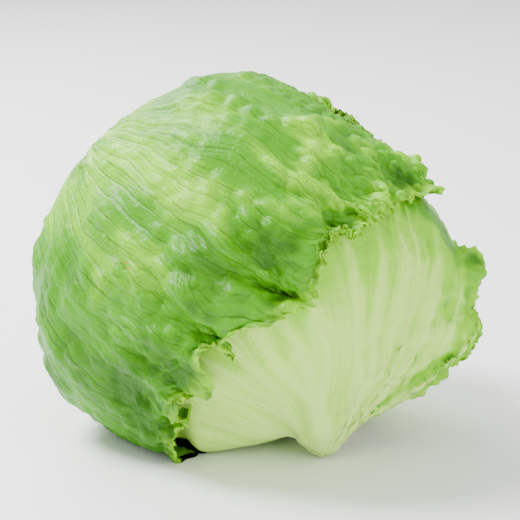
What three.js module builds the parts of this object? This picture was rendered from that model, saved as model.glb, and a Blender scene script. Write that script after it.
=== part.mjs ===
// A head of crisphead lettuce: a ball of packed heart leaves on a short cut stem, wrapped in broad loose leaves.
// It lies the way such a head settles on a table, leaning over until its belly and its cut stem both touch.
//
// Units are millimetres and degrees, with +Z up and the origin on the table under the middle of the head.
// The head has a frame of its own, centred in the heart, with the stem pointing straight down. A place on it is
// given by a polar angle from the stem (0 at the cut stem, 180 at the crown) and an azimuth about the stem
// (0 at the front, 90 at the right, 180 at the back, 270 at the left).

import * as THREE from "three";

// ---- Driving dimensions ----
const heartRadius = 61; // ball of packed heart leaves
const heartDetail = 6; // how finely the ball is faceted
const stemRadius = 11; // cut end of the stem
const stemTaper = 0.82; // its inner end, as a share of the cut end
const stemLength = 13; // from the heart to the cut
const seatDepth = 1; // flat on the heart that the stem grows from, cut in from the ball
const seatGap = 0.3; // between the heart and the stem
const stemSides = 32;
const bladeThickness = 1.4; // a wrapper leaf away from its rib
const ribThickness = 1.3; // added where the ribs gather at the stem
const ribFocus = 9; // how quickly that dies away from the stem
const leafGap = 1.5; // air between one leaf and the next
const baseMargin = 4.5; // angle between the stem's side and the foot of a leaf
const hugStart = 1.1; // a leaf over the edge of another starts to come down here, in shares of that leaf's reach
const hugEnd = 1.4; // and lies on what is beneath from here on
const stemLean = 31; // the stem leans this far from straight down
const leanAzimuth = 62; // and to this side
const stemClearance = 0.6; // between the low corner of the cut stem and the table
const pressSoftness = 0.75; // how softly the flat pressed part turns into the free sides, as a share of its depth

// Broad swellings of the whole bundle of wrapper leaves: where, how high, and how sharply they fall off.
const swellings = [
  { polar: 117, azimuth: 274, height: 9, focus: 5 }, // full left shoulder
  { polar: 77, azimuth: 273, height: 15.5, focus: 5 }, // and cheek
  { polar: 43, azimuth: 94, height: 22, focus: 5 }, // leaves that stand open low on the right
  { polar: 83, azimuth: 94, height: -4, focus: 5 },
  { polar: 123, azimuth: 93, height: -12, focus: 5 }, // slack above it
  { polar: 163, azimuth: 91, height: 7, focus: 5 }, // raised crown
  { polar: 95, azimuth: 180, height: 6, focus: 3 }, // round back
  { polar: 80, azimuth: 0, height: 3, focus: 4 }, // round front
];

// Wrapper leaves, from the innermost to the outermost. Each is a rounded sheet spread about a middle of its own.
// reach is the angle from that middle to the margin at equal bearings, starting with the side towards the stem,
// where it is worked out from the stem instead. cells is how finely the sheet is faceted each way.
const leaves = [
  {
    name: "heart_leaf_left",
    polar: 88,
    azimuth: 306,
    reach: [0, 66, 60, 60, 62, 66, 66, 66, 62, 60, 60, 66],
    cells: 20,
  },
  {
    name: "heart_leaf_right",
    polar: 88,
    azimuth: 60,
    reach: [0, 66, 60, 58, 60, 64, 66, 64, 60, 58, 60, 66],
    cells: 20,
  },
  {
    name: "left_back_leaf",
    polar: 84,
    azimuth: 222,
    reach: [0, 64, 60, 60, 62, 64, 66, 64, 62, 60, 60, 64],
    cells: 20,
  },
  {
    name: "right_leaf",
    polar: 80,
    azimuth: 125,
    reach: [0, 53, 44, 44, 52, 58, 64, 66, 60, 54, 52, 58],
    cells: 20,
    lip: 3,
  },
  {
    name: "back_leaf",
    polar: 82,
    azimuth: 178,
    reach: [0, 61, 55, 53, 56, 61, 64, 61, 56, 53, 55, 61],
    cells: 20,
    lip: 2,
  },
  {
    name: "front_leaf",
    polar: 58,
    azimuth: 18,
    reach: [0, 55, 62, 66, 62, 56, 54, 56, 53, 45, 42, 43],
    cells: 20,
    lip: 2,
  },
  {
    name: "top_leaf",
    polar: 150,
    azimuth: 258,
    reach: [0, 98, 66, 56, 62, 86, 128, 124, 115, 103, 97, 113],
    cells: 42,
    lip: 3,
  },
];

// The lip of a leaf, where its margin stands off and waves.
const lipStart = 0.8; // share of the leaf's reach
const lipWaves = 9; // round a whole margin

// ---- Frame of the head ----
const deg = Math.PI / 180;
const stemSeat = heartRadius - seatDepth;
const stemFoot = stemSeat + stemLength;

// Middle of the heart above the table: as low as the leaning stem allows.
const restHeight =
  stemFoot * Math.cos(stemLean * deg) +
  stemRadius * Math.sin(stemLean * deg) +
  stemClearance;

const stemPole = new THREE.Vector3(0, 0, -1);

function direction(polar, azimuth) {
  const across = Math.sin(polar * deg);
  return new THREE.Vector3(
    across * Math.sin(azimuth * deg),
    -across * Math.cos(azimuth * deg),
    -Math.cos(polar * deg),
  );
}

// Turns the head from its own frame to the way it lies.
const lay = new THREE.Quaternion().setFromUnitVectors(
  stemPole,
  direction(stemLean, leanAzimuth),
);

function smooth(from, to, value) {
  const t = Math.min(1, Math.max(0, (value - from) / (to - from)));
  return t * t * (3 - 2 * t);
}

// A rounded bump about a direction, of height 1.
function bump(d, centre, focus) {
  return Math.exp(focus * (d.dot(centre) - 1));
}

// Closed smooth curve through equally spaced values.
function roundCurve(values, turn) {
  const n = values.length;
  const at = (((turn % 1) + 1) % 1) * n;
  const i = Math.floor(at);
  const t = at - i;
  const [a, b, c, d] = [n - 1, 0, 1, 2].map((k) => values[(i + k) % n]);
  return (
    b +
    0.5 *
      t *
      (c - a + t * (2 * a - 5 * b + 4 * c - d + t * (3 * (b - c) + d - a)))
  );
}

// ---- Leaves as sheets about their own middles ----
for (const leaf of leaves) {
  leaf.middle = direction(leaf.polar, leaf.azimuth);
  leaf.toStem = stemPole
    .clone()
    .addScaledVector(leaf.middle, -stemPole.dot(leaf.middle))
    .normalize();
  leaf.aside = leaf.toStem.clone().cross(leaf.middle);
  const stemAngle = Math.atan2(stemRadius, stemFoot) / deg;
  leaf.reach[0] = leaf.polar - stemAngle - baseMargin;
}

for (const s of swellings) s.centre = direction(s.polar, s.azimuth);

// Where a direction lies on a leaf: 0 in its middle, 1 at its margin.
function share(leaf, d) {
  const away = Math.acos(Math.min(1, Math.max(-1, d.dot(leaf.middle)))) / deg;
  const bearing = Math.atan2(d.dot(leaf.aside), d.dot(leaf.toStem));
  return away / roundCurve(leaf.reach, bearing / (2 * Math.PI));
}

// 1 wherever a leaf lies, falling to 0 past its margin.
function cover(leaf, d) {
  return 1 - smooth(hugStart, hugEnd, share(leaf, d));
}

function thickness(d) {
  return bladeThickness + ribThickness * bump(d, stemPole, ribFocus);
}

// Height of a leaf's inner face above the heart: every leaf beneath lifts it by one thickness and one gap.
function stack(index, d) {
  let beneath = 0;
  for (const leaf of leaves.slice(0, index)) beneath += cover(leaf, d);
  return leafGap + (thickness(d) + leafGap) * beneath;
}

// The margin stands off and waves where no leaf outside holds it down.
function lipLift(index, d, s, bearing) {
  const leaf = leaves[index];
  if (!leaf.lip) return 0;
  let free = 1;
  for (const over of leaves.slice(index + 1)) free *= 1 - cover(over, d);
  const atStem = bump(d, stemPole, ribFocus);
  const wave = 0.5 + 0.5 * Math.sin(lipWaves * bearing);
  return leaf.lip * wave * smooth(lipStart, 1, s) * free * (1 - atStem);
}

function swell(d) {
  return swellings.reduce(
    (sum, s) => sum + s.height * bump(d, s.centre, s.focus),
    0,
  );
}

// How far a direction runs from the heart's middle down to the table.
function toTable(d) {
  const down = -d.clone().applyQuaternion(lay).z;
  return down > 0.05 ? restHeight / down : Infinity;
}

// The wrapper leaves start from a ball that swells here and there, and everything is pressed in over the table.
// The deeper it is pressed, the wider the rounded edge of the pressed part.
function free(d) {
  return heartRadius + swell(d);
}

function pressed(d) {
  return toTable(d) - stack(leaves.length - 1, d) - thickness(d);
}

const straightDown = new THREE.Vector3(0, 0, -1).applyQuaternion(
  lay.clone().invert(),
);
const pressDepth = Math.max(1, free(straightDown) - pressed(straightDown));
const pressRound = pressSoftness * pressDepth;

function leafFace(d) {
  const apart = Math.abs(free(d) - pressed(d));
  const both = Math.max(0, pressRound - apart);
  return Math.min(free(d), pressed(d)) - (both * both) / (4 * pressRound);
}

// The heart doesn't swell with the leaves, but it is slack where they are.
function heartFace(d) {
  return Math.min(heartRadius, leafFace(d));
}

// ---- Geometry ----
function meshOf(name, positions, triangles, colour, roughness) {
  const geometry = new THREE.BufferGeometry();
  geometry.setAttribute(
    "position",
    new THREE.Float32BufferAttribute(positions, 3),
  );
  geometry.setIndex(triangles);
  geometry.computeVertexNormals();
  const material = new THREE.MeshStandardMaterial({
    color: colour,
    roughness,
    metalness: 0,
    side: THREE.FrontSide,
  });
  const mesh = new THREE.Mesh(geometry, material);
  mesh.name = name;
  return mesh;
}

// A point of a leaf: u and v run from -1 to 1 over a square that is rounded into a disc and spread on the sheet.
function leafPoint(index, u, v, outer) {
  const leaf = leaves[index];
  const x = u * Math.sqrt(1 - (v * v) / 2);
  const y = v * Math.sqrt(1 - (u * u) / 2);
  const s = Math.min(1, Math.hypot(x, y));
  const bearing = Math.atan2(y, x);
  const away = s * roundCurve(leaf.reach, bearing / (2 * Math.PI)) * deg;
  const d = leaf.middle
    .clone()
    .multiplyScalar(Math.cos(away))
    .addScaledVector(leaf.toStem, Math.sin(away) * Math.cos(bearing))
    .addScaledVector(leaf.aside, Math.sin(away) * Math.sin(bearing));
  const lifted = leafFace(d) + stack(index, d) + lipLift(index, d, s, bearing);
  const face = Math.min(lifted, toTable(d) - thickness(d));
  return d.multiplyScalar(face + (outer ? thickness(d) : 0));
}

// A closed thin sheet: an outer and an inner grid, joined round the rim.
function leafMesh(index) {
  const { name, cells, colour } = leaves[index];
  const n = cells + 1;
  const positions = [];
  for (const outer of [true, false])
    for (let i = 0; i < n; i++)
      for (let j = 0; j < n; j++)
        positions.push(
          ...leafPoint(
            index,
            (2 * i) / cells - 1,
            (2 * j) / cells - 1,
            outer,
          ).toArray(),
        );
  const triangles = [];
  const quad = (a, b, c, d) => triangles.push(a, b, c, a, c, d);
  const inner = n * n;
  for (let i = 0; i < cells; i++)
    for (let j = 0; j < cells; j++) {
      const [a, b, c, d] = [
        i * n + j,
        i * n + j + 1,
        (i + 1) * n + j + 1,
        (i + 1) * n + j,
      ];
      quad(a, b, c, d);
      quad(inner + a, inner + d, inner + c, inner + b);
    }
  const rim = [];
  for (let k = 0; k < cells; k++) rim.push(k);
  for (let k = 0; k < cells; k++) rim.push(k * n + cells);
  for (let k = cells; k > 0; k--) rim.push(cells * n + k);
  for (let k = cells; k > 0; k--) rim.push(k * n);
  rim.forEach((a, k) => {
    const b = rim[(k + 1) % rim.length];
    quad(b, a, inner + a, inner + b);
  });
  return meshOf(name, positions, triangles, colour ?? "#9cc653", 0.45);
}

function heartMesh() {
  const ball = new THREE.IcosahedronGeometry(1, heartDetail);
  const at = ball.getAttribute("position");
  const d = new THREE.Vector3();
  for (let i = 0; i < at.count; i++) {
    d.fromBufferAttribute(at, i).normalize();
    d.multiplyScalar(heartFace(d));
    at.setXYZ(i, d.x, d.y, Math.max(d.z, -stemSeat));
  }
  ball.computeVertexNormals();
  const heart = new THREE.Mesh(
    ball,
    new THREE.MeshStandardMaterial({ color: "#dfe8b0", roughness: 0.5 }),
  );
  heart.name = "heart";
  return heart;
}

function stemMesh() {
  const length = stemLength - seatGap;
  const stem = new THREE.Mesh(
    new THREE.CylinderGeometry(
      stemRadius * stemTaper,
      stemRadius,
      length,
      stemSides,
    ),
    new THREE.MeshStandardMaterial({ color: "#e9e7c4", roughness: 0.6 }),
  );
  stem.name = "cut_stem";
  stem.rotation.x = Math.PI / 2;
  stem.position.z = -(stemSeat + seatGap + length / 2);
  return stem;
}

// ---- The head, laid down and centred ----
const head = new THREE.Group();
head.add(heartMesh(), stemMesh());
leaves.forEach((_, index) => head.add(leafMesh(index)));
head.quaternion.copy(lay);

const lettuce = new THREE.Group();
lettuce.add(head);
const box = new THREE.Box3().setFromObject(head, true);
const middle = box.getCenter(new THREE.Vector3());
head.position.set(-middle.x, -middle.y, -box.min.z);

export default lettuce;
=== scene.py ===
import math
import bpy
import numpy as np
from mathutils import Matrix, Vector


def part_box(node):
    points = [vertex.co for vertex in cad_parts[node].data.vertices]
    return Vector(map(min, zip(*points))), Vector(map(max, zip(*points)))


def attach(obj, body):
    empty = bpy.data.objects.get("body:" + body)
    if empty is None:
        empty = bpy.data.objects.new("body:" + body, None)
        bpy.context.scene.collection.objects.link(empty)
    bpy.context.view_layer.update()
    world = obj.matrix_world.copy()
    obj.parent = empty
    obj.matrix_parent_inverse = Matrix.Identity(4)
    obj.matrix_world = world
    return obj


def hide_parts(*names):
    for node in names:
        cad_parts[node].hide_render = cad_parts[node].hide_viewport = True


# A head of crisphead lettuce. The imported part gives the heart, the cut stem and the plain wrapper leaves, and
# this script puts crinkled, ribbed and frilled leaves of the same outline in their places.
# Lengths are in millimetres until a mesh is written, and angles are in degrees.
# Directions are in the head's own frame: the polar angle from the stem, and the azimuth about it from the
# front to the right.

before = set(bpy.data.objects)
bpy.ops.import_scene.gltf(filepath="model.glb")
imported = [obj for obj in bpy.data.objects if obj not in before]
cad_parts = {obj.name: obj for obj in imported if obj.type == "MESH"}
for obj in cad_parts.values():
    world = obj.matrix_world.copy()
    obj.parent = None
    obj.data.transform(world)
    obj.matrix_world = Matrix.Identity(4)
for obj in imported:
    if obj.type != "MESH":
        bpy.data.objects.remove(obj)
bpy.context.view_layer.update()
print("frame loaded")

deg = math.pi / 180

# the shape of the bundle, as in the part
bundle = dict(
    heartRadius=61.0,
    stemRadius=11.0,
    stemTaper=0.82,
    stemLength=13.0,
    seatDepth=1.0,
    seatGap=0.3,
    bladeThickness=1.4,
    ribThickness=1.3,
    ribFocus=9.0,
    leafGap=1.5,
    hugStart=1.1,
    hugEnd=1.4,
    stemLean=31.0,
    leanAzimuth=62.0,
    stemClearance=0.6,
    pressSoftness=0.75,
    swellings=[  # polar, azimuth, height, focus
        (117, 274, 9, 5),
        (77, 273, 15.5, 5),
        (43, 94, 17, 5),
        (83, 94, -4, 5),
        (123, 93, -12, 5),
        (163, 91, 7, 5),
        (95, 180, 6, 3),
        (80, 0, 3, 4),
    ],
)

# Wrapper leaves from the innermost out: reach is the angle from a leaf's middle to its margin at twelve equal
# bearings from the side towards the stem, ruffle the height of the margin's waves there, and curl how far the
# margin rolls outwards.
heartLeafLeft = dict(
    polar=88, azimuth=306, reach=[72, 66, 60, 60, 62, 66, 66, 66, 62, 60, 60, 66],
    ruffle=[1] * 12, curl=[0] * 12, cells=110, focus=30, seed=11,
    ribs=dict(count=3.0, stray=0.25, start=20, length=40, width=3.0, height=0.9),
    blister=0.5, greenFrom=20, greenTo=90, rag=0.8,
)
heartLeafRight = dict(
    polar=88, azimuth=60, reach=[72, 66, 60, 58, 60, 64, 66, 64, 60, 58, 60, 66],
    ruffle=[1] * 12, curl=[0] * 12, cells=110, focus=30, seed=12,
    ribs=dict(count=3.0, stray=0.25, start=20, length=40, width=3.0, height=0.9),
    blister=0.5, greenFrom=20, greenTo=90, rag=0.8,
)
leftBackLeaf = dict(
    polar=84, azimuth=222, reach=[70, 64, 60, 60, 62, 64, 66, 64, 62, 60, 60, 64],
    ruffle=[2] * 12, curl=[20] * 12, cells=150, focus=20, seed=13,
    ribs=dict(count=3.0, stray=0.25, start=20, length=40, width=3.0, height=1.0),
    blister=0.8, greenFrom=15, greenTo=85, rag=1.2,
)
rightLeaf = dict(
    polar=80, azimuth=125, reach=[67, 53, 45, 46, 52, 58, 64, 66, 60, 54, 52, 58],
    ruffle=[2, 3, 3, 2, 2, 3, 3, 3, 3, 3, 3, 2], curl=[10, 10, 10, 10, 20, 30, 30, 30, 30, 30, 30, 10],
    cells=190, focus=30, seed=14,
    ribs=dict(count=3.2, stray=0.25, start=18, length=40, width=3.2, height=1.3),
    blister=1.0, greenFrom=25, greenTo=85, rag=2.6,
)
backLeaf = dict(
    polar=82, azimuth=178, reach=[69, 61, 55, 53, 56, 61, 64, 61, 56, 53, 55, 61],
    ruffle=[2, 3, 4, 5, 5, 4, 4, 4, 5, 5, 4, 3], curl=[0, 20, 40, 60, 50, 40, 40, 40, 50, 60, 40, 20],
    cells=190, focus=26, seed=15,
    ribs=dict(count=3.2, stray=0.25, start=18, length=40, width=3.4, height=1.5),
    blister=1.2, greenFrom=20, greenTo=80, rag=1.8,
)
frontLeaf = dict(
    polar=58, azimuth=18, reach=[47, 66, 76, 78, 72, 62, 58, 58, 54, 59, 54, 48],
    ruffle=[0.5, 0.5, 1, 2, 2, 2, 2, 2, 2.5, 3.5, 3.5, 2], curl=[0, 0, 0, 20, 20, 20, 20, 10, 20, 30, 30, 10],
    cells=215, focus=45, axis=14, fanAngle=1.3, seed=16,
    ribs=dict(count=1.9, stray=0.4, start=10, length=40, width=4.4, height=3.8),
    blister=0.9, pleat=1.3, greenFrom=35, greenTo=190, rag=2.0, ribGreen=0.4, rimGreen=0.55,
)
topLeaf = dict(
    polar=150, azimuth=258, reach=[124, 98, 66, 56, 62, 86, 128, 124, 120, 115, 105, 108],
    ruffle=[1, 1.5, 3, 3, 1.5, 1, 0.8, 1.5, 8, 11, 11, 7],
    curl=[0, 10, 30, 30, 20, 10, 10, 15, 50, 70, 70, 35],
    cells=220, focus=4, axis=75, fanAngle=1.5, seed=17,
    ribs=dict(count=2.2, stray=0.25, start=10, length=50, width=1.6, height=0.8),
    blister=1.7, pleat=4.2, sunk=2.4, greenFrom=-10, greenTo=60, greenest=0.74, rag=2.4,
    marks=[((103, 327), (100, 328))],
    # painted shade at the lower left and near the front margin, where the head lies in shade, and painted light
    # where the amount is negative
    paintedLightAndShade=[
        (66, 306, 7, 0.3), (84, 15, 60, 0.22), (90, 352, 60, 0.25),
        (122, 340, 6, -0.28), (92, 32, 14, -0.3), (98, 50, 10, -0.15),
    ],
)
plainLeaf = dict(
    axis=0,  # bearing of the midrib in degrees
    fanAngle=0.95,  # half angle of the fan of veins, in radians
    pleat=0.8,  # height of the pleats in mm
    sunk=0,  # how far the whole leaf is set in, in mm
    greenest=1.0,
    ribGreen=0.12,  # how much paler a rib is
    rimGreen=0.12,  # how much greener the margin is
    marks=[],
    paintedLightAndShade=[],  # patches of painted shade (positive amount) and painted light (negative amount): polar, azimuth, focus, amount
)
leaves = [heartLeafLeft, heartLeafRight, leftBackLeaf, rightLeaf, backLeaf, frontLeaf, topLeaf]


def direction(polar, azimuth):
    # unit vector at a polar angle from the stem pole (0, 0, -1) and an azimuth from -Y towards +X
    across = math.sin(polar * deg)
    x = across * math.sin(azimuth * deg)
    y = -across * math.cos(azimuth * deg)
    return np.array([x, y, -math.cos(polar * deg)])


def turnBetween(start, end):
    # rotation matrix by the shortest turn from one unit vector to another (Rodrigues' formula)
    axis = np.cross(start, end)
    sine = np.linalg.norm(axis)
    x, y, z = axis / sine
    cross = np.array([[0, -z, y], [z, 0, -x], [-y, x, 0]])
    return np.eye(3) + sine * cross + (1 - start @ end) * cross @ cross


stemPole = np.array([0.0, 0.0, -1.0])
lay = turnBetween(stemPole, direction(bundle["stemLean"], bundle["leanAzimuth"]))
stemSeat = bundle["heartRadius"] - bundle["seatDepth"]
stemFoot = stemSeat + bundle["stemLength"]
restHeight = (
    stemFoot * math.cos(bundle["stemLean"] * deg)
    + bundle["stemRadius"] * math.sin(bundle["stemLean"] * deg)
    + bundle["stemClearance"]
)


def smoothstep(low, high, x):
    # 0 below low, 1 above high, and 3t^2 - 2t^3 between
    t = np.clip((x - low) / (high - low), 0, 1)
    return t * t * (3 - 2 * t)


def softFloor(values, depth):
    # negative values go to -depth tanh(|value| / depth), so none passes -depth
    return np.where(values < 0, -depth * np.tanh(-values / depth), values)


def bump(d, centre, focus):
    # exp(focus (cos of the angle to the centre - 1)): a round bump of height 1
    return np.exp(focus * (d @ centre - 1))


def roundCurve(values, turn):
    # closed Catmull-Rom curve through equally spaced values; turn goes once round from 0 to 1
    v = np.asarray(values, float)
    n = len(v)
    at = (turn % 1) * n
    i = np.floor(at).astype(int) % n
    t = at - np.floor(at)
    a, b, c, d = (v[(i + k) % n] for k in (n - 1, 0, 1, 2))
    return b + 0.5 * t * (c - a + t * (2 * a - 5 * b + 4 * c - d + t * (3 * (b - c) + d - a)))


for leaf in leaves:
    middle = direction(leaf["polar"], leaf["azimuth"])
    toStem = stemPole - (stemPole @ middle) * middle
    toStem /= np.linalg.norm(toStem)
    leaf.update(middle=middle, toStem=toStem, aside=np.cross(toStem, middle))


def share(leaf, d):
    # angle from the leaf's middle over the angle to its margin on that bearing
    away = np.arccos(np.clip(d @ leaf["middle"], -1, 1)) / deg
    bearing = np.arctan2(d @ leaf["aside"], d @ leaf["toStem"])
    return away / roundCurve(leaf["reach"], bearing / (2 * math.pi))


def cover(leaf, d):
    # 1 on a leaf, falling to 0 past its margin
    return 1 - smoothstep(bundle["hugStart"], bundle["hugEnd"], share(leaf, d))


def thickness(d):
    return bundle["bladeThickness"] + bundle["ribThickness"] * bump(d, stemPole, bundle["ribFocus"])


def stack(index, d):
    # height of a leaf's inner face: one thickness and one gap for every leaf beneath
    beneath = sum((cover(leaf, d) for leaf in leaves[:index]), np.zeros(d.shape[:-1]))
    return bundle["leafGap"] + (thickness(d) + bundle["leafGap"]) * beneath


def freeFace(d):
    swell = sum(h * bump(d, direction(p, a), f) for p, a, h, f in bundle["swellings"])
    return bundle["heartRadius"] + swell


def toTable(d):
    # distance from the heart's middle down to the table along a direction
    down = -(d @ lay.T)[..., 2]
    return np.where(down > 0.05, restHeight / np.maximum(down, 0.05), 1e6)


def pressedFace(d):
    return toTable(d) - stack(len(leaves) - 1, d) - thickness(d)


straightDown = np.array([0.0, 0.0, -1.0]) @ lay
pressRound = bundle["pressSoftness"] * max(1.0, float(freeFace(straightDown) - pressedFace(straightDown)))


def leafFace(d):
    # smooth minimum of the free ball and the pressed one: min - h^2 / 4k, where h = max(0, k - difference)
    free, pressed = freeFace(d), pressedFace(d)
    both = np.maximum(0, pressRound - np.abs(free - pressed))
    return np.minimum(free, pressed) - both * both / (4 * pressRound)


def uncovered(index, d):
    # 1 where no outer leaf lies over or near a leaf
    free = np.ones(d.shape[:-1])
    for over in leaves[index + 1:]:
        free = free * (1 - cover(over, d))
    return free


def bare(index, d):
    # 1 from the margins of the outer leaves outwards
    free = np.ones(d.shape[:-1])
    for over in leaves[index + 1:]:
        free = free * smoothstep(0.95, 1.01, share(over, d))
    return free


# The part sits centred on its box. The cut stem's box says where the head's own frame ended up.
def stemRings():
    # the two rims of the cut stem, 32 points each, in the head's frame
    turn = np.arange(32) / 32 * 2 * math.pi
    rims = []
    seat = (bundle["stemRadius"] * bundle["stemTaper"], stemSeat + bundle["seatGap"])
    foot = (bundle["stemRadius"], stemFoot)
    for radius, along in (seat, foot):
        rims.append(np.stack([radius * np.sin(turn), -radius * np.cos(turn), np.full(32, -along)], -1))
    return np.concatenate(rims)


laidStem = stemRings() @ lay.T
stemLow, stemHigh = (np.array(corner) * 1000 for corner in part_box("cut_stem"))
shift = (stemLow + stemHigh) / 2 - (laidStem.min(0) + laidStem.max(0)) / 2
print("head placed at", shift.round(2))


def toRow(points):
    # from the head's frame in millimetres to the row's in metres
    return (points @ lay.T + shift) / 1000


# random surfaces
def field(points, wavelength, seed, count=26):
    # sum of plane waves in random directions, all near one wavelength, about -1 to 1
    rng = np.random.default_rng(seed)
    waves = rng.normal(size=(count, points.shape[-1]))
    waves /= np.linalg.norm(waves, axis=1, keepdims=True)
    waves *= 2 * math.pi / wavelength * rng.uniform(0.7, 1.3, (count, 1))
    return np.cos(points @ waves.T + rng.uniform(0, 2 * math.pi, count)).sum(-1) * math.sqrt(1 / count)


def rimWaves(turn, count, seed, parts=5):
    # sum of sines with whole numbers of waves near count round the margin, about -1 to 1
    rng = np.random.default_rng(seed)
    total = np.zeros(turn.shape)
    for _ in range(parts):
        number = max(1, round(count * rng.uniform(0.7, 1.3)))
        total += np.sin(2 * math.pi * (number * turn + rng.uniform()))
    return total / math.sqrt(parts)


# shader maths as Python expressions
class Wire:
    # one output socket, or a number, in a material's node tree

    def __init__(self, tree, socket):
        self.tree = tree
        self.socket = socket

    def node(self, kind, settings=None, inputs=None, out=0):
        # any node: its settings first, then the values or links of its sockets
        made = self.tree.nodes.new(kind)
        for name, value in (settings or {}).items():
            setattr(made, name, value)
        for name, value in (inputs or {}).items():
            if isinstance(value, Wire):
                self.tree.links.new(value.socket, made.inputs[name])
            else:
                made.inputs[name].default_value = value
        return Wire(self.tree, made.outputs[out] if len(made.outputs) else None)

    def maths(self, operation, *values):
        return self.node("ShaderNodeMath", {"operation": operation}, dict(enumerate(values)))

    def __add__(self, other):
        return self.maths("ADD", self, other)

    def __radd__(self, other):
        return self.maths("ADD", other, self)

    def __sub__(self, other):
        return self.maths("SUBTRACT", self, other)

    def __rsub__(self, other):
        return self.maths("SUBTRACT", other, self)

    def __mul__(self, other):
        return self.maths("MULTIPLY", self, other)

    def __rmul__(self, other):
        return self.maths("MULTIPLY", other, self)

    def __truediv__(self, other):
        return self.maths("DIVIDE", self, other)

    def step(self, low, high):
        # smoothstep from low to high
        return self.node(
            "ShaderNodeMapRange", {"interpolation_type": "SMOOTHSTEP"},
            {"Value": self, "From Min": low, "From Max": high},
        )

    def blend(self, first, second):
        # colours first to second as this goes from 0 to 1
        return self.node(
            "ShaderNodeMix", {"data_type": "RGBA"}, {"Factor": self, 6: first, 7: second}, out=2,
        )


def fraction(v):
    return v - np.floor(v)


def either(operation, x, *more):
    # the same expression on numbers in an array or on a wire
    if isinstance(x, Wire):
        return x.maths(operation, x, *more)
    plain = {
        "FLOOR": np.floor,
        "SINE": np.sin,
        "ABSOLUTE": np.abs,
        "MINIMUM": np.minimum,
        "FRACT": fraction,
    }
    return plain[operation](x, *more)


def easeEither(low, high, x):
    return x.step(low, high) if isinstance(x, Wire) else smoothstep(low, high, x)


def veinDistance(phase, along, scale, veins):
    # Distance in mm to the nearest vein of a fan. Phase is cut into cells; each has one vein near its middle,
    # and two more that leave it at a sharp angle further out. A hash of the cell's number varies them.
    c = phase * veins["count"]
    cell = either("FLOOR", c)
    t = c - cell
    pick = either("FRACT", either("SINE", cell * 12.9898) * 37.31)
    centre = t - (0.5 + (pick - 0.5) * veins["stray"])
    spread = 0.33 * easeEither(0.0, 1.0, (along - veins["start"] * (0.4 + pick)) / veins["length"])
    near = either("MINIMUM", either("ABSOLUTE", centre), either("ABSOLUTE", centre - spread))
    near = either("MINIMUM", near, either("ABSOLUTE", centre + spread))
    return near * scale / veins["count"]


def colour(r, g, b):
    # linear colour from 0 to 255 screen values
    def linear(v):
        v = v / 255
        return v / 12.92 if v <= 0.04045 else ((v + 0.055) / 1.055) ** 2.4
    return (linear(r), linear(g), linear(b), 1.0)


leafLook = dict(
    pale=(198, 240, 106),
    light=(136, 206, 6),
    green=(76, 154, 0),
    deep=(46, 102, 0),
    frill=(150, 220, 0),
    veinDark=(26, 74, 0),
    veinPale=(204, 240, 124),
    mark=(176, 92, 40),
    roughness=(0.24, 0.46),
    subsurface=0.2,
    gloss=0.33,
    lineFine=0.6,
    lineFinest=0.45,
    ribPale=0.7,
    groove=0.35,
    streak=0.25,
    subsurfaceScale=0.0025,
    fineVeins=dict(count=4.6, stray=0.3, start=8, length=30),
    finestVeins=dict(count=13.0, stray=0.3, start=14, length=22),
)


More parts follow.
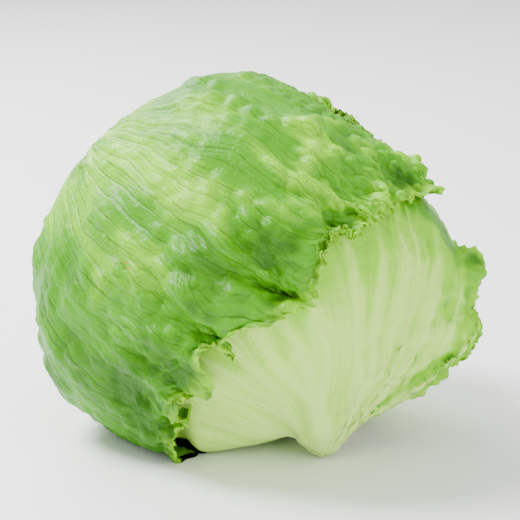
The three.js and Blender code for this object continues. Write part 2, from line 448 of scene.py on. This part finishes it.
def leafMaterial(name, look):
    # pale ribs to green blade by the leaf's own attributes, drawn over with veins, a fine net and blotches; the
    # green attribute also carries painted shade in hollows and patches of painted light and shade
    material = bpy.data.materials.new(name)
    material.use_nodes = True
    tree = material.node_tree
    tree.nodes.clear()
    w = Wire(tree, None)

    def attribute(attributeName):
        return w.node("ShaderNodeAttribute", {"attribute_name": attributeName}, out="Fac")

    sheet = w.node("ShaderNodeUVMap", {"uv_map": "sheet"})

    def noise(size, detail=3.0, rough=0.55, at=sheet):
        # sheet coordinates are in decimetres
        sockets = {"Vector": at, "Scale": 100 / size, "Detail": detail, "Roughness": rough}
        return w.node("ShaderNodeTexNoise", {}, sockets, out="Fac")

    phase, along, scale = attribute("phase"), attribute("along"), attribute("scale")
    # the green attribute is the leaf's own pale-to-green tone plus painted shade in its hollows and patches of
    # painted light and shade
    greenAndShade, rim, ribs = attribute("green"), attribute("rim"), attribute("ribs")
    wobble = (noise(9, 1.0) - 0.5) * 0.012
    fine = veinDistance(phase + wobble, along, scale, look["fineVeins"])
    finest = veinDistance(phase + wobble * 2.0, along, scale, look["finestVeins"])
    net = w.node(
        "ShaderNodeTexVoronoi", {"feature": "DISTANCE_TO_EDGE"},
        {"Vector": sheet, "Scale": 100 / 2.6, "Randomness": 1.0}, out="Distance",
    )
    blotch = noise(16, 4.0)
    speck = noise(1.6, 2.0)
    fibres = w.node("ShaderNodeCombineXYZ", {}, {"X": phase * 30.0, "Y": along * 0.03})
    streakSockets = {"Vector": fibres, "Scale": 1.0, "Detail": 3.0, "Roughness": 0.6}
    streak = w.node("ShaderNodeTexNoise", {}, streakSockets, out="Fac")

    tone = greenAndShade + (blotch - 0.5) * 0.34 + (speck - 0.5) * 0.12 + (streak - 0.5) * look["streak"]
    base = tone.step(0.0, 0.36).blend(colour(*look["pale"]), colour(*look["light"]))
    base = tone.step(0.32, 0.72).blend(base, colour(*look["green"]))
    base = tone.step(0.7, 1.15).blend(base, colour(*look["deep"]))
    frilled = (1 - rim.step(0.0, 9.0)) * greenAndShade.step(0.3, 0.7) * noise(9, 2.0).step(0.25, 0.6) * 0.85
    base = frilled.blend(base, colour(*look["frill"]))
    netLine = 1 - net.step(0.0, 0.16)
    base = (netLine * (0.006 + 0.01 * greenAndShade)).blend(base, colour(*look["veinPale"]))
    lineFine = (1 - fine.step(0.1, 0.38)) * (1 - ribs.step(0.5, 0.9))
    lineFine = lineFine * (0.35 + 0.65 * noise(9, 2.0).step(0.3, 0.6))
    lineFinest = (1 - finest.step(0.1, 0.34)) * (1 - ribs.step(0.4, 0.8)) * noise(7, 2.0).step(0.4, 0.65)
    base = (lineFine * look["lineFine"]).blend(base, colour(*look["veinDark"]))
    base = (lineFinest * look["lineFinest"]).blend(base, colour(*look["veinDark"]))
    base = (ribs.step(0.35, 1.0) * look["ribPale"]).blend(base, colour(*look["veinPale"]))
    base = (attribute("mark").step(0.3, 0.9) * 0.8).blend(base, colour(*look["mark"]))

    low, high = look["roughness"]
    rough = low + (high - low) * noise(5, 3.0) + 0.08 * netLine
    height = (
        (speck * 0.16 + noise(0.7, 1.0) * 0.07)
        - netLine * 0.02
        + streak * (0.9 * look["streak"])
        - (1 - fine.step(0.0, 1.3)) * look["groove"]
        - (1 - finest.step(0.0, 0.7)) * (0.35 * look["groove"])
        + noise(3.4, 3.0) * 1.5
        + noise(1.3, 2.0) * 0.35
    )
    bumped = w.node("ShaderNodeBump", {}, {"Strength": 0.75, "Distance": 0.0006, "Height": height})
    shader = w.node(
        "ShaderNodeBsdfPrincipled", {"subsurface_method": "RANDOM_WALK"},
        {
            "Base Color": base,
            "Roughness": rough,
            "Normal": bumped,
            "Subsurface Weight": look["subsurface"],
            "Subsurface Radius": (0.55, 1.0, 0.22),
            "Subsurface Scale": look["subsurfaceScale"],
            "IOR": 1.36,
            "Specular IOR Level": look["gloss"],
        },
    )
    w.node("ShaderNodeOutputMaterial", {}, {"Surface": shader})
    return material


# writing meshes
def writeMesh(name, points, quads, attributes, plane, material, node):
    # points in the head's frame; attributes by name; plane is the sheet position of each point
    mesh = bpy.data.meshes.new(name)
    rowPoints = toRow(points)
    mesh.vertices.add(len(rowPoints))
    mesh.vertices.foreach_set("co", rowPoints.astype(np.float32).ravel())
    quads = np.asarray(quads, np.int32)
    mesh.loops.add(quads.size)
    mesh.loops.foreach_set("vertex_index", quads.ravel())
    mesh.polygons.add(len(quads))
    mesh.polygons.foreach_set("loop_start", np.arange(0, quads.size, 4, dtype=np.int32))
    mesh.update(calc_edges=True)
    mesh.polygons.foreach_set("use_smooth", np.ones(len(quads), bool))
    for key, values in attributes.items():
        made = mesh.attributes.new(key, "FLOAT", "POINT")
        made.data.foreach_set("value", np.asarray(values, np.float32).ravel())
    uv = mesh.uv_layers.new(name="sheet")
    uv.data.foreach_set("uv", (plane[quads.ravel()] / 100).astype(np.float32).ravel())
    mesh.validate()
    piece = bpy.data.objects.new(name, mesh)
    bpy.context.scene.collection.objects.link(piece)
    mesh.materials.append(material)
    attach(piece, "root")
    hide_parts(node)
    print(name, len(rowPoints), "points")


def shellQuads(n):
    # outer and inner grids of n by n points, joined round the rim, all facing out
    i, j = np.meshgrid(np.arange(n - 1), np.arange(n - 1), indexing="ij")
    a, b, c, d = i * n + j, i * n + j + 1, (i + 1) * n + j + 1, (i + 1) * n + j
    outer = np.stack([a, b, c, d], -1).reshape(-1, 4)
    inner = np.stack([a, d, c, b], -1).reshape(-1, 4) + n * n
    k = np.arange(n - 1)
    rim = np.concatenate([k, k * n + n - 1, (n - 1) * n + (n - 1 - k), (n - 1 - k) * n])
    following = np.roll(rim, -1)
    edge = np.stack([following, rim, rim + n * n, following + n * n], -1)
    return np.concatenate([outer, inner, edge])


def unit(v):
    return v / np.maximum(np.linalg.norm(v, axis=-1, keepdims=True), 1e-9)


def gridNormals(p):
    # cross product of the grid's two central differences, pointing away from the head's middle
    n = unit(np.cross(np.gradient(p, axis=1), np.gradient(p, axis=0)))
    return n * np.sign(np.sum(n[p.shape[0] // 2, p.shape[1] // 2] * p[p.shape[0] // 2, p.shape[1] // 2]))


def arcDistance(d, ends):
    # angle in degrees from directions to the great arc between two directions, and how far along it they lie
    a, b = direction(*ends[0]), direction(*ends[1])
    span = b - a
    t = np.clip((d - a) @ span / (span @ span), 0, 1)
    near = unit(a + t[..., None] * span)
    return np.arccos(np.clip(np.sum(d * near, -1), -1, 1)) / deg, t


mmPerDegree = 1.28  # on the leaves' sphere

# how far in mm a leaf may sink towards the leaf beneath, and how far it may rise from the part's own surface
clearances = dict(sink=0.9, crinkleSink=0.6, waveSink=0.4, freeRise=5, spareRise=4)


def leafPiece(index, name, node, look, folds=()):
    # The leaf's disc is spread about its middle as in the part. Its face is lifted by ribs, blisters and
    # folds, and its margin is waved, rolled outwards and torn.
    leaf = dict(plainLeaf, **leaves[index])
    n = leaf["cells"] + 1
    t = np.linspace(-1, 1, n)
    t = 1.3 * t - 0.3 * t**3  # closer rows towards the margin
    u, v = np.meshgrid(t, t, indexing="ij")
    x, y = u * np.sqrt(1 - v * v / 2), v * np.sqrt(1 - u * u / 2)
    s = np.minimum(1, np.hypot(x, y))
    bearing = np.arctan2(y, x)
    turn = bearing / (2 * math.pi)
    reach = roundCurve(leaf["reach"], turn)
    seed = leaf["seed"] * 100

    # even travel along the margin
    fine = np.arange(1441) / 1440
    rimReach = roundCurve(leaf["reach"], fine) * deg
    rimBearing = fine * 2 * math.pi
    rimAt = (
        np.cos(rimReach)[:, None] * leaf["middle"]
        + (np.sin(rimReach) * np.cos(rimBearing))[:, None] * leaf["toStem"]
        + (np.sin(rimReach) * np.sin(rimBearing))[:, None] * leaf["aside"]
    ) * 78
    travelled = np.concatenate([[0], np.cumsum(np.linalg.norm(np.diff(rimAt, axis=0), axis=1))])
    length = travelled[-1]
    rimTurn = np.interp(turn % 1, fine, travelled / length)

    rag = leaf["rag"] * (
        0.6 * rimWaves(rimTurn, length / 26, seed + 1)
        + 0.3 * rimWaves(rimTurn, length / 8, seed + 2)
        + 0.22 * rimWaves(rimTurn, length / 3, seed + 3)
    )
    atBase = smoothstep(0.55, 0.9, np.cos(bearing)) * smoothstep(0.3, 1, s)
    away = (s * reach + s**10 * rag * (1 - atBase)) * deg

    def place(angle):
        return (
            np.cos(angle)[..., None] * leaf["middle"]
            + (np.sin(angle) * np.cos(bearing))[..., None] * leaf["toStem"]
            + (np.sin(angle) * np.sin(bearing))[..., None] * leaf["aside"]
        )

    d = place(away)
    rim = (1 - s) * reach * mmPerDegree
    planeX = away / deg * mmPerDegree * np.cos(bearing)
    planeY = away / deg * mmPerDegree * np.sin(bearing)
    plane = np.stack([planeX, planeY], -1)

    # veins: side veins leave a midrib at an angle up to the focus, and fan out beyond it
    axis = leaf["axis"] * deg
    toBase = planeX * math.cos(axis) + planeY * math.sin(axis)
    across = planeY * math.cos(axis) - planeX * math.sin(axis)
    ahead = leaf["focus"] * mmPerDegree - toBase
    beta = leaf["fanAngle"]
    theta = np.arctan2(across, ahead)
    radius = np.hypot(ahead, across)
    behind = np.abs(across) / math.tan(beta) - ahead
    fan = np.abs(theta) < beta
    perMm = 1 / 30
    phase = np.where(fan, theta, np.sign(across) * (beta + np.maximum(behind, 0) * perMm)) + 40
    along = np.where(fan, radius, np.abs(across) / math.sin(beta))
    scale = np.where(fan, radius, math.sin(beta) / perMm)
    stray = field(plane, 60, seed + 4) * 0.03 + field(plane, 26, seed + 5) * 0.01
    phase = phase + stray

    ribs = leaf["ribs"]
    gap = veinDistance(phase, along, scale, ribs)
    ribWidth = ribs["width"] * (0.45 + 0.9 * np.exp(-along / 45))
    ribShape = np.exp(-((gap / ribWidth) ** 2)) * (0.25 + 0.75 * np.exp(-along / 70))
    midWidth = 2.0 + 5.0 * smoothstep(0, 90, -ahead) + 2.0 * smoothstep(-20, 40, -ahead)
    midrib = np.exp(-((across / midWidth) ** 2)) * smoothstep(-25, 20, -ahead)
    openness = smoothstep(0.2, 0.9, uncovered(index, d))
    room = 0.25 + 0.75 * openness

    blister = (
        0.8 * np.abs(field(plane, 38, seed + 6))
        + 0.75 * np.abs(field(plane, 15, seed + 7))
        + 0.25 * np.abs(field(plane, 7, seed + 8))
    )
    relief = leaf["blister"] * blister * (1 - 0.6 * ribShape)
    pleats = 1 - np.abs(field(np.stack([phase * 60, along * 0.6], -1), 26, seed + 20))
    pleats = pleats + 0.45 * (1 - np.abs(field(np.stack([phase * 60, along * 0.8], -1), 11, seed + 21)))
    relief = relief + leaf["pleat"] * pleats * (0.08 + 0.92 * np.exp(-rim / 30))
    foldLift = np.zeros(s.shape)
    mark = np.zeros(s.shape)
    for fold in folds:
        angle, alongFold = arcDistance(d, fold["ends"])
        taper = np.sin(math.pi * (0.12 + 0.76 * alongFold)) if fold.get("taper", True) else 1
        foldLift += fold["height"] * np.exp(-((angle * mmPerDegree / fold["width"]) ** 2)) * taper
    for spot in leaf["marks"]:
        angle, _ = arcDistance(d, spot)
        mark = np.maximum(mark, np.exp(-((angle * mmPerDegree / 0.7) ** 2)))
    lift = relief * room - leaf["sunk"]
    lift = softFloor(lift, clearances["sink"])
    foldLift = np.clip(foldLift, -1.2, 6.5) * bare(index, d)

    sheetThickness = 0.45 + 0.45 * smoothstep(0, 25, rim)
    cadMiddle = leafFace(d) + stack(index, d) + thickness(d) / 2
    calm = 1 - bump(d, stemPole, 14)
    middleSurface = d * cadMiddle[..., None]

    # rolled margin: an arc of constant bend over the last strip, outwards and back
    uneven = np.clip(0.55 + 0.6 * rimWaves(rimTurn, length / 42, seed + 9), 0, 1.5)
    curl = roundCurve(leaf["curl"], turn) * deg * uneven * openness + 1e-3
    strip = 11.0
    q = np.clip(1 - rim / strip, 0, 1)
    lifted = strip * (1 - np.cos(curl * q)) / curl
    drawn = strip * (q - np.sin(curl * q) / curl)

    # waves of the margin, with a side step that makes the tall ones overhang
    height = roundCurve(leaf["ruffle"], turn) * openness
    big = rimWaves(rimTurn, length / 26, seed + 10)
    medium = rimWaves(rimTurn, length / 12, seed + 11)
    small = rimWaves(rimTurn, length / 5, seed + 12)
    swing = rimWaves(rimTurn + 0.25 * 26 / length, length / 26, seed + 10)
    swingMedium = rimWaves(rimTurn + 0.25 * 12 / length, length / 12, seed + 11)
    waved = (
        height * (0.4 + 0.45 * big) * np.exp(-rim / 20)
        + 0.34 * height * (0.5 + 0.8 * medium) * np.exp(-rim / 12)
        + 0.11 * height * (0.5 + 0.8 * small) * np.exp(-rim / 4.5)
    )
    waved = softFloor(waved, clearances["waveSink"])
    sideways = height * (0.3 * swing * np.exp(-rim / 12) + 0.1 * swingMedium * np.exp(-rim / 6))

    normal = gridNormals(middleSurface)
    outward = unit(place(away + 0.01) - place(away - 0.01))
    outward = unit(outward - np.sum(outward * normal, -1)[..., None] * normal)
    tangent = np.cross(normal, outward)
    bend = (curl * q)[..., None]
    rolledNormal = normal * np.cos(bend) - outward * np.sin(bend)
    rise = (lift + waved) * calm + foldLift
    free, spare = clearances["freeRise"], clearances["spareRise"]
    rise = np.where(rise > free, free + spare * np.tanh((rise - free) / spare), rise)
    middleSurface = (
        middleSurface
        + normal * (lifted * calm)[..., None]
        - outward * (drawn * calm)[..., None]
        + rolledNormal * rise[..., None]
        + tangent * (sideways * calm)[..., None]
    )
    normal = gridNormals(middleSurface)
    valleys = np.abs(field(plane, 11, seed + 22))
    crinkle = 1.8 * (0.6 - valleys) + 0.9 * (0.6 - np.abs(field(plane, 5.5, seed + 23)))
    crinkle = crinkle * np.exp(-rim / 18) * openness * calm * np.minimum(1, leaf["rag"] / 2)
    crinkle = softFloor(crinkle, clearances["crinkleSink"])
    middleSurface = middleSurface + normal * crinkle[..., None]
    normal = gridNormals(middleSurface)
    half = (sheetThickness / 2)[..., None]
    ribLift = (ribs["height"] * ribShape + 1.6 * midrib * room) * (0.1 + 0.9 * openness)
    ribLift = ribLift * smoothstep(0, 10, rim)
    outer = middleSurface + normal * (half + ribLift[..., None])
    inner = middleSurface - normal * half

    points = np.concatenate([outer.reshape(-1, 3), inner.reshape(-1, 3)])
    laid = points @ lay.T
    laid[:, 2] = np.maximum(laid[:, 2], -restHeight + 0.05)
    points = laid @ lay

    fromBase = np.hypot(toBase - roundCurve(leaf["reach"], leaf["axis"] / 360) * mmPerDegree, across)
    greenAndShade = smoothstep(leaf["greenFrom"], leaf["greenTo"], fromBase) * leaf["greenest"]
    greenAndShade = greenAndShade * (0.75 + 0.25 * smoothstep(10, 70, along))
    greenAndShade = greenAndShade * (1 - 0.75 * midrib) - leaf["ribGreen"] * ribShape
    # random tone, plus painted shade: greener and darker in the pleat hollows, paler on the pleat ridges
    greenAndShade = greenAndShade + 0.1 * field(plane, 45, seed + 13) - 0.06 * (pleats - 0.6)
    # painted shade in the hollows of the pleats near the margin
    paintedPocketShade = np.clip(0.7 - pleats, 0, 1) * np.exp(-rim / 30)
    # painted shade in the crinkle valleys near the margin
    greenAndShade = greenAndShade + 0.3 * (valleys - 0.6) * np.exp(-rim / 18)
    # patches of painted shade and painted light
    for patchPolar, patchAzimuth, patchFocus, amount in leaf["paintedLightAndShade"]:
        greenAndShade = greenAndShade + amount * bump(d, direction(patchPolar, patchAzimuth), patchFocus)
    # greener margin, the leaf's own colour, plus the painted shade of the pleat pockets
    greenAndShade = greenAndShade + leaf["rimGreen"] * smoothstep(16, 2, rim) + 0.6 * paintedPocketShade * openness
    ribTone = np.maximum(ribShape, midrib)
    # green holds the leaf's tone together with the painted shade and painted light above
    surfaces = dict(phase=phase, along=along, scale=scale, rim=rim, green=greenAndShade, ribs=ribTone, mark=mark)
    attributes = {key: np.tile(values.ravel(), 2) for key, values in surfaces.items()}
    planes = np.concatenate([plane.reshape(-1, 2)] * 2)
    writeMesh(name, points, shellQuads(n), attributes, planes, leafMaterial(name, look), node)


frontFolds = [
    dict(ends=((18, 344), (27, 352)), height=6.0, width=6.5, taper=False),
    dict(ends=((66, 283), (33, 318)), height=6.0, width=11.0, taper=False),
]
topFolds = [
    dict(ends=((97, 346), (91, 358)), height=5.0, width=4.0),
    dict(ends=((100, 355), (90, 359)), height=4.0, width=3.0),
    dict(ends=((95, 5), (80, 3)), height=4.0, width=3.0),
    dict(ends=((92, 11), (80, 13)), height=4.0, width=3.0),
    dict(ends=((96, 20), (84, 20)), height=3.5, width=3.0),
    dict(ends=((93, 338), (80, 345)), height=4.5, width=4.0),
    dict(ends=((86, 322), (76, 332)), height=4.5, width=3.5),
    dict(ends=((78, 312), (68, 324)), height=5.0, width=3.5),
    dict(ends=((70, 304), (60, 316)), height=4.5, width=3.5),
    dict(ends=((60, 298), (52, 308)), height=4.0, width=3.0),
    dict(ends=((109, 2), (98, 6)), height=-1.2, width=2.5),
    dict(ends=((98, 329), (84, 327)), height=2.5, width=3.0),
]
frontLook = dict(
    leafLook, streak=0.45, lineFine=0.12, lineFinest=0.0, ribPale=0.75, groove=0.1,
    veinPale=(212, 242, 140), pale=(186, 232, 96),
)
leafPiece(0, "heartLeafLeft", "heart_leaf_left", leafLook)
leafPiece(1, "heartLeafRight", "heart_leaf_right", leafLook)
leafPiece(2, "leftBackLeaf", "left_back_leaf", leafLook)
leafPiece(3, "rightLeaf", "right_leaf", leafLook)
leafPiece(4, "backLeaf", "back_leaf", leafLook)
leafPiece(5, "frontLeaf", "front_leaf", frontLook, frontFolds)
leafPiece(6, "topLeaf", "top_leaf", leafLook, topFolds)


# the heart: a ball of packed leaves
heart = dict(rings=90, sectors=150, crease=0.9)


def heartPiece():
    # A ball by polar angle and azimuth with closed poles. Curved creases where packed leaves overlap:
    # a saw wave of the azimuth that drifts with the polar angle.
    polar = np.linspace(0, 180, heart["rings"] + 1)[1:-1]
    azimuth = np.arange(heart["sectors"]) / heart["sectors"] * 360
    p, a = (g * deg for g in np.meshgrid(polar, azimuth, indexing="ij"))
    d = np.stack([np.sin(p) * np.sin(a), -np.sin(p) * np.cos(a), -np.cos(p)], -1)
    poles = np.array([[0, 0, -1.0], [0, 0, 1.0]])
    d = np.concatenate([d.reshape(-1, 3), poles])
    polarAll = np.concatenate([p.ravel(), [0, math.pi]])
    turnAll = np.concatenate([a.ravel(), [0, 0]]) / (2 * math.pi)
    saw = (turnAll * 5 + polarAll * 0.5) % 1
    crease = heart["crease"] * (smoothstep(0, 0.06, saw) * (1 - 0.6 * saw) - 0.7) * np.sin(polarAll) ** 2
    radius = np.minimum(bundle["heartRadius"], leafFace(d)) - 0.4 + crease + 0.25 * field(d * 60, 18, 5)
    points = d * radius[:, None]
    points[:, 2] = np.maximum(points[:, 2], -stemSeat)
    rings, sectors = p.shape
    i, j = np.meshgrid(np.arange(rings - 1), np.arange(sectors), indexing="ij")
    k = (j + 1) % sectors
    quads = np.stack([i * sectors + j, i * sectors + k, (i + 1) * sectors + k, (i + 1) * sectors + j], -1)
    return points, quads.reshape(-1, 4), rings, sectors, polarAll, turnAll


def writeHeart():
    points, quads, rings, sectors, polarAll, turnAll = heartPiece()
    low, high = len(points) - 2, len(points) - 1
    j = np.arange(0, sectors, 2)
    cap = np.stack([np.full(len(j), low), (j + 2) % sectors, (j + 1) % sectors, j], -1)
    last = (rings - 1) * sectors
    cup = np.stack([np.full(len(j), high), last + j, last + (j + 1) % sectors, last + (j + 2) % sectors], -1)
    zero = np.zeros(len(points))
    attributes = dict(
        phase=turnAll * 6.28 + 40, along=polarAll * 60, scale=zero + 50, rim=zero + 50,
        green=0.12 + 0.2 * smoothstep(0, 2, polarAll), ribs=zero, mark=zero,
    )
    plane = np.stack([turnAll * 380, polarAll * 61], -1)
    material = leafMaterial("packedHeart", leafLook)
    writeMesh("packedHeart", points, np.concatenate([quads, cap, cup]), attributes, plane, material, "heart")


writeHeart()

# the cut stem
stem = dict(
    sectors=96, edge=0.8, dish=0.5,
    cream=(232, 226, 190), brown=(186, 140, 84), green=(206, 216, 160),
)


def stemMaterial():
    # cream core with a drying brown rim and ring on the cut face, mottled and finely pitted
    material = bpy.data.materials.new("cutStem")
    material.use_nodes = True
    tree = material.node_tree
    tree.nodes.clear()
    w = Wire(tree, None)
    ring = w.node("ShaderNodeAttribute", {"attribute_name": "ring"}, out="Fac")
    face = w.node("ShaderNodeAttribute", {"attribute_name": "face"}, out="Fac")
    sheet = w.node("ShaderNodeUVMap", {"uv_map": "sheet"})
    mottle = w.node("ShaderNodeTexNoise", {}, {"Vector": sheet, "Scale": 30.0, "Detail": 5.0}, out="Fac")
    pores = w.node("ShaderNodeTexVoronoi", {}, {"Vector": sheet, "Scale": 90.0}, out="Distance")
    base = (mottle.step(0.3, 0.7)).blend(colour(*stem["cream"]), colour(*stem["green"]))
    drying = face * (ring.step(0.55, 0.95) * 0.7 + mottle.step(0.45, 0.8) * 0.35)
    base = drying.blend(base, colour(*stem["brown"]))
    height = mottle * 0.6 + pores * 0.4
    bumped = w.node("ShaderNodeBump", {}, {"Strength": 0.7, "Distance": 0.0007, "Height": height})
    shader = w.node(
        "ShaderNodeBsdfPrincipled", {"subsurface_method": "RANDOM_WALK"},
        {
            "Base Color": base, "Roughness": 0.45 + 0.25 * mottle, "Normal": bumped,
            "Subsurface Weight": 0.3, "Subsurface Radius": (1.0, 0.8, 0.4), "Subsurface Scale": 0.003,
        },
    )
    w.node("ShaderNodeOutputMaterial", {}, {"Surface": shader})
    return material


def stemPiece():
    # A profile turned about the stem's axis: seat, flared side, rounded edge and a slightly dished cut face.
    # The radius wavers round the stem, and shallow grooves run down its side.
    r, foot = bundle["stemRadius"], stemFoot
    edge, dish = stem["edge"], stem["dish"]
    top = stemSeat + bundle["seatGap"]
    profile = [(0.0, top)] + [(r * bundle["stemTaper"] * f, top) for f in (0.3, 0.6, 0.9, 1.0)]
    for f in np.linspace(0.08, 0.94, 14):
        profile.append((r * (bundle["stemTaper"] + (1 - bundle["stemTaper"]) * f), top + (foot - top) * f))
    for f in np.linspace(0, 1, 6):
        quarter = f * math.pi / 2
        profile.append((r - edge * (1 - math.cos(quarter)), foot - edge + edge * math.sin(quarter)))
    for f in np.linspace(0.9, 0.08, 12):
        profile.append((r * f, foot - dish * (1 - f * f)))
    profile.append((0.0, foot - dish))
    profile = np.array(profile)
    turn = np.arange(stem["sectors"]) / stem["sectors"] * 2 * math.pi
    ringR, ringZ = profile[1:-1, 0], profile[1:-1, 1]
    waver = 1 + 0.03 * np.sin(3 * turn + 1) + 0.02 * np.sin(7 * turn) + 0.012 * np.sin(23 * turn)
    inner = np.clip(ringR / r, 0, 1)[:, None] ** 3
    radius = ringR[:, None] * (1 - inner * 0.05 + inner * (waver[None] - 1))
    cutGrain = 0.12 * np.sin(9 * radius * np.cos(turn)[None] / r + 2) * (ringZ > foot - 0.6)[:, None]
    depth = ringZ[:, None] - np.abs(cutGrain)
    points = np.stack([radius * np.sin(turn), -radius * np.cos(turn), -depth], -1).reshape(-1, 3)
    points = np.concatenate([points, [[0, 0, -top], [0, 0, -(foot - dish)]]])
    rings, sectors = len(ringR), len(turn)
    i, j = np.meshgrid(np.arange(rings - 1), np.arange(sectors), indexing="ij")
    k = (j + 1) % sectors
    quads = np.stack([i * sectors + k, i * sectors + j, (i + 1) * sectors + j, (i + 1) * sectors + k], -1)
    quads = quads.reshape(-1, 4)
    j = np.arange(0, sectors, 2)
    low, high = len(points) - 2, len(points) - 1
    cap = np.stack([np.full(len(j), low), j, (j + 1) % sectors, (j + 2) % sectors], -1)
    last = (rings - 1) * sectors
    cup = np.stack([np.full(len(j), high), last + (j + 2) % sectors, last + (j + 1) % sectors, last + j], -1)
    ringShare = np.concatenate([np.repeat(ringR / r, sectors), [0, 0]])
    onFace = np.concatenate([np.repeat((ringZ > foot - 0.7).astype(float), sectors), [0, 1]])
    plane = points[:, :2] + points[:, 2:] * 0.6
    quads = np.concatenate([quads, cap, cup])
    writeMesh("cutStem", points, quads, dict(ring=ringShare, face=onFace), plane, stemMaterial(), "cut_stem")


stemPiece()

# floor, light and camera
studio = dict(
    floorColour=(0.97, 0.98, 0.97),
    floorRoughness=0.6,
    floorHalf=6.0,
    world=1.15,
    lamps=[  # name, place, aim, size, power
        ("key", (-0.6, 0.1, 0.95), (0, 0, 0.07), 0.45, 26.0),
        ("fill", (0.7, -0.8, 0.45), (0, 0, 0.07), 0.8, 6.0),
        ("back", (-0.45, 0.85, 0.75), (0, 0, 0.08), 0.7, 12.0),
    ],
)


def studioFloor():
    mesh = bpy.data.meshes.new("floor")
    size = studio["floorHalf"]
    corners = [(-size, -size, 0), (size, -size, 0), (size, size, 0), (-size, size, 0)]
    mesh.from_pydata(corners, [], [(0, 1, 2, 3)])
    floor = bpy.data.objects.new("floor", mesh)
    bpy.context.scene.collection.objects.link(floor)
    material = bpy.data.materials.new("floor")
    material.use_nodes = True
    shader = material.node_tree.nodes["Principled BSDF"]
    shader.inputs["Base Color"].default_value = (*studio["floorColour"], 1)
    shader.inputs["Roughness"].default_value = studio["floorRoughness"]
    mesh.materials.append(material)


def areaLight(name, place, aim, size, power):
    light = bpy.data.lights.new(name, "AREA")
    light.shape = "DISK"
    light.size = size
    light.energy = power
    lamp = bpy.data.objects.new(name, light)
    bpy.context.scene.collection.objects.link(lamp)
    lamp.location = place
    lamp.rotation_euler = aimAt(place, aim)


def aimAt(place, aim):
    return (Vector(aim) - Vector(place)).to_track_quat("-Z", "Y").to_euler()


studioFloor()
for lamp in studio["lamps"]:
    areaLight(*lamp)
world = bpy.data.worlds.new("studio")
world.use_nodes = True
world.node_tree.nodes["Background"].inputs["Color"].default_value = (1, 1, 1, 1)
world.node_tree.nodes["Background"].inputs["Strength"].default_value = studio["world"]
bpy.context.scene.world = world

view = dict(elevation=15.0, distance=0.75, frameWidth=200.2, across=1.925, down=3.465, sensor=36)


def standCamera():
    # looks along +Y from 15 degrees up, with the head a little up and left of the frame's middle
    e = view["elevation"] * deg
    forward = np.array([0, math.cos(e), -math.sin(e)])
    up = np.array([0, math.sin(e), math.cos(e)])
    aim = shift + np.array([1.0, 0, 0]) * view["across"] - up * view["down"]
    place = aim / 1000 - forward * view["distance"]
    camera = bpy.data.cameras.new("camera")
    camera.sensor_width = view["sensor"]
    camera.lens = view["sensor"] * view["distance"] * 1000 / view["frameWidth"]
    camera.clip_start = 0.01
    eye = bpy.data.objects.new("camera", camera)
    bpy.context.scene.collection.objects.link(eye)
    eye.location = place
    eye.rotation_euler = aimAt(tuple(place), tuple(aim / 1000))
    bpy.context.scene.camera = eye


standCamera()
